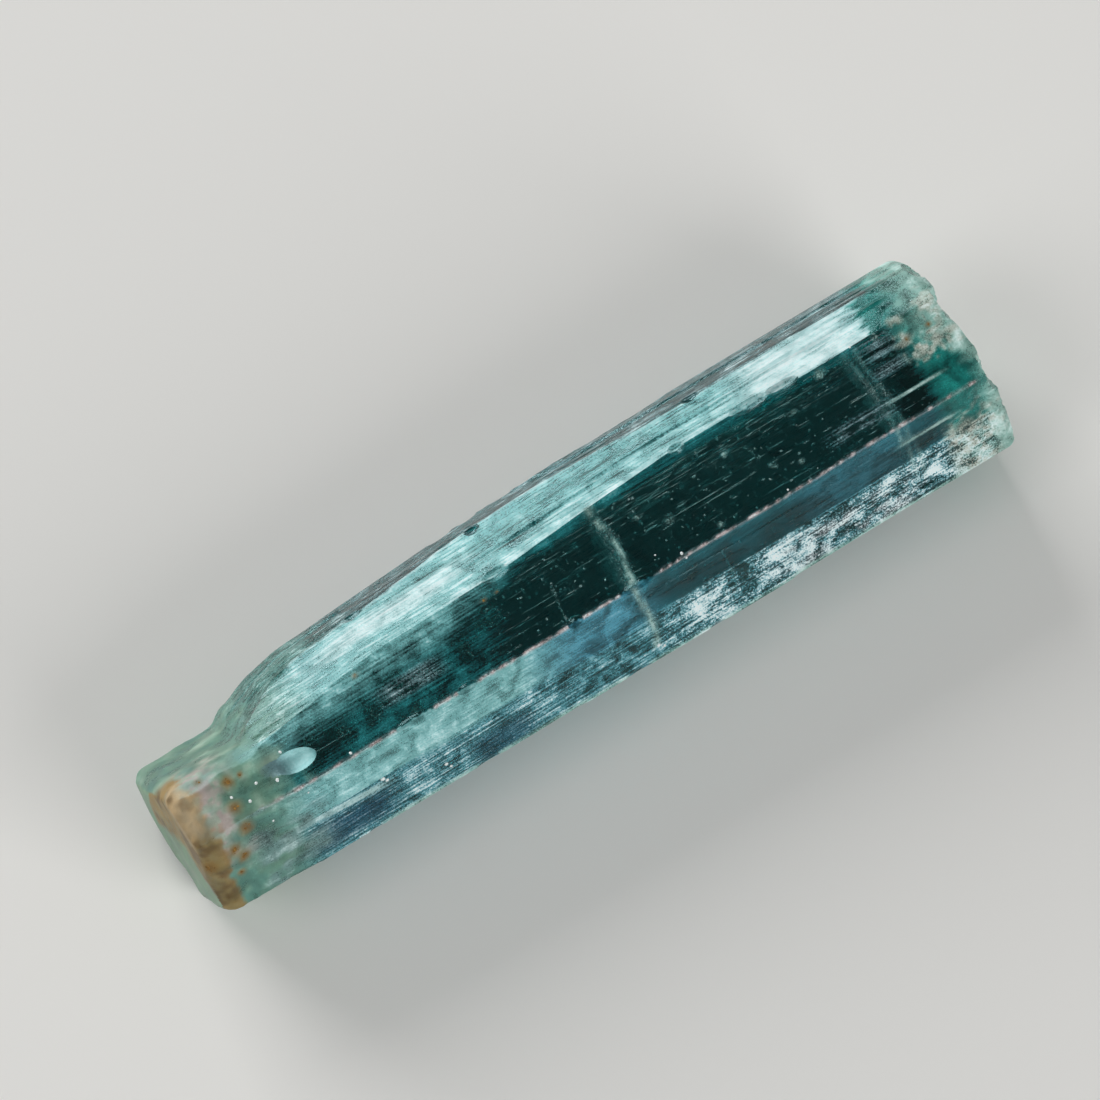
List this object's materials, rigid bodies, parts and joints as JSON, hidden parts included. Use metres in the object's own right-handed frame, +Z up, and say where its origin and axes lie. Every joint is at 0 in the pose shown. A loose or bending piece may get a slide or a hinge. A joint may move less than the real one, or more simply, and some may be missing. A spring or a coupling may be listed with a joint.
{
  "type": "vanadium beryl crystal",
  "caption": "Clear teal hexagonal beryl crystal lying on a prism face, with growth ridges along its length, a frosted iron-stained end and a rough broken end.",
  "frame": {"origin": "bottom centre of the crystal's bounding box, on the surface that it lies on", "axes": "+X along the crystal's long axis towards its broken end, +Y across to the side with the broken rim, +Z up"},
  "size_m": [0.026, 0.0064, 0.0049],
  "materials": {
    "beryl": "clear teal crystal with fine striations along its length, frosted and iron-stained at one end"
  },
  "bodies": {
    "root": {"beryl_crystal": "beryl"}
  },
  "joints": []
}
